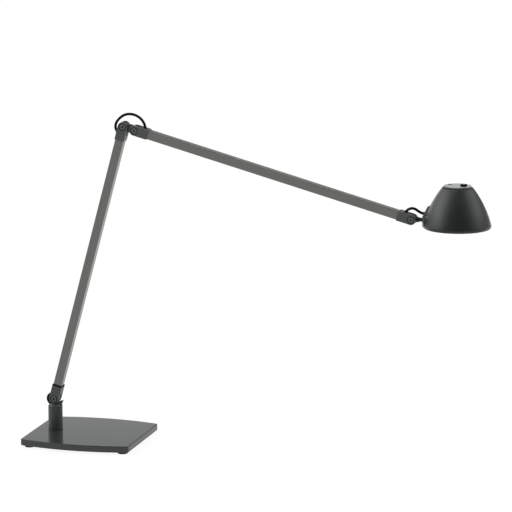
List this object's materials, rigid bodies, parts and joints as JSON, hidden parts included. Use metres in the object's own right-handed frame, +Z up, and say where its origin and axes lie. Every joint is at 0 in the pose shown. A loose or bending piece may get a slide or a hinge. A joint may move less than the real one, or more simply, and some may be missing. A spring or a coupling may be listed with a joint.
{
  "type": "swing arm desk lamp",
  "caption": "Desk lamp with a weighted square base, a swivelling post, two square-tube arms joined by a double elbow, and a bell-shaped head with a dimmer button.",
  "frame": {"origin": "on the desk under the centre of the base plate, at the undersides of the feet", "axes": "+Z up, +X from the base towards the lamp head in the plane of the arms, -Y the side that the pivot bolts' heads are on"},
  "size_m": [0.8023, 0.1948, 0.5771],
  "materials": {
    "slate_plate": "fine satin powder coat, slate grey",
    "slate_alloy": "satin powder coat, dark slate grey",
    "tube_alloy": "brushed and anodised, dark warm grey",
    "shade_alloy": "satin powder coat, dark green grey",
    "bare_alloy": "as cast and machined",
    "slate_steel": "painted slate grey",
    "black_steel": "black oxide",
    "zinc_steel": "zinc plated",
    "black_rubber": "matte",
    "cable_pvc": "smooth, slightly glossy",
    "black_nylon": "matte",
    "white_plastic": "matte, highly reflective",
    "dark_window": "polished, smoked",
    "button_plastic": "satin black",
    "light_pipe": "translucent dull red",
    "board_laminate": "solder mask",
    "frosted": "frosted, translucent white"
  },
  "bodies": {
    "base": {"base_plate": "slate_plate", "base_feet": "black_rubber", "post_tube": "slate_plate", "post_plug": "zinc_steel", "post_bolt": "zinc_steel", "inlet_grommet": "black_rubber", "lead_connector": "black_nylon", "post_lead": "cable_pvc", "swivel_stop_screw": "black_steel", "swivel_bushes": "black_nylon"},
    "swivel": {"swivel_head": "slate_alloy", "swivel_pivot_bush": "black_nylon", "swivel_lead": "cable_pvc"},
    "lower_arm": {"lower_arm_tube": "tube_alloy", "lower_arm_foot_knuckle": "slate_alloy", "lower_arm_elbow_knuckle": "slate_alloy", "lower_arm_pivot_bolts": "slate_steel", "lower_arm_pivot_nuts": "black_steel", "foot_knuckle_seal": "black_rubber", "lower_arm_friction_washers": "black_nylon", "lower_arm_tube_screws": "black_steel", "lower_arm_cable_gland": "black_nylon", "lower_arm_lead": "cable_pvc", "foot_loop": "cable_pvc"},
    "elbow_link": {"elbow_link": "slate_alloy", "elbow_link_bushes": "black_nylon", "elbow_loop_lower": "cable_pvc"},
    "upper_arm": {"upper_arm_tube": "tube_alloy", "upper_arm_elbow_knuckle": "slate_alloy", "upper_arm_head_knuckle": "slate_alloy", "upper_arm_pivot_bolts": "slate_steel", "upper_arm_pivot_nuts": "black_steel", "upper_arm_friction_washers": "black_nylon", "upper_arm_tube_screws": "black_steel", "upper_arm_cable_glands": "black_nylon", "upper_arm_lead": "cable_pvc", "elbow_loop_upper": "cable_pvc"},
    "head_stem": {"stem_tongue": "slate_alloy", "stem_pivot_bush": "black_nylon", "stem_collar": "black_steel", "stem_rod": "black_steel", "stem_rod_nut": "zinc_steel", "head_loop_tilt": "cable_pvc"},
    "head": {"head_bracket": "slate_alloy", "bracket_screws": "black_steel", "stem_rod_bush": "black_nylon", "head_cable_gland": "black_nylon", "shade": "shade_alloy", "shade_cap": "shade_alloy", "sensor_window": "dark_window", "heat_sink": "bare_alloy", "heat_sink_screws": "zinc_steel", "led_board": "white_plastic", "reflector": "white_plastic", "diffuser": "frosted", "switch_board": "board_laminate", "head_lead": "cable_pvc", "head_loop_roll": "cable_pvc"},
    "button": {"dimmer_button": "button_plastic", "button_light_pipe": "light_pipe"}
  },
  "joints": [
    {"name": "swivel_turn", "type": "hinge", "parent": "base", "child": "swivel", "pos_m": [-0.0625, 0, 0.055], "axis": [0, 0, 1], "range_deg": [-150, 150]},
    {"name": "lower_arm_tilt", "type": "hinge", "parent": "swivel", "child": "lower_arm", "pos_m": [-0.0625, 0, 0.0705], "axis": [0, 1, 0], "range_deg": [-40, 25], "deforming": ["foot_loop"]},
    {"name": "elbow_lower_fold", "type": "hinge", "parent": "lower_arm", "child": "elbow_link", "pos_m": [0.06691, 0, 0.55346], "axis": [0, -1, 0], "range_deg": [-30, 60], "deforming": ["elbow_loop_lower"]},
    {"name": "elbow_upper_fold", "type": "hinge", "parent": "elbow_link", "child": "upper_arm", "pos_m": [0.08768, 0, 0.5479], "axis": [0, -1, 0], "range_deg": [-45, 60], "deforming": ["elbow_loop_upper"]},
    {"name": "head_tilt", "type": "hinge", "parent": "upper_arm", "child": "head_stem", "pos_m": [0.57064, 0, 0.41849], "axis": [0, 1, 0], "range_deg": [-50, 60], "deforming": ["head_loop_tilt"]},
    {"name": "head_roll", "type": "hinge", "parent": "head_stem", "child": "head", "pos_m": [0.58974, 0, 0.41849], "axis": [1, 0, 0], "range_deg": [-60, 60], "deforming": ["head_loop_roll"]},
    {"name": "dimmer_press", "type": "slide", "parent": "head", "child": "button", "axis": [0, 0, -1], "range_m": [0, 0.001], "stiffness_N_per_m": 800, "springref_m": -0.0005}
  ]
}
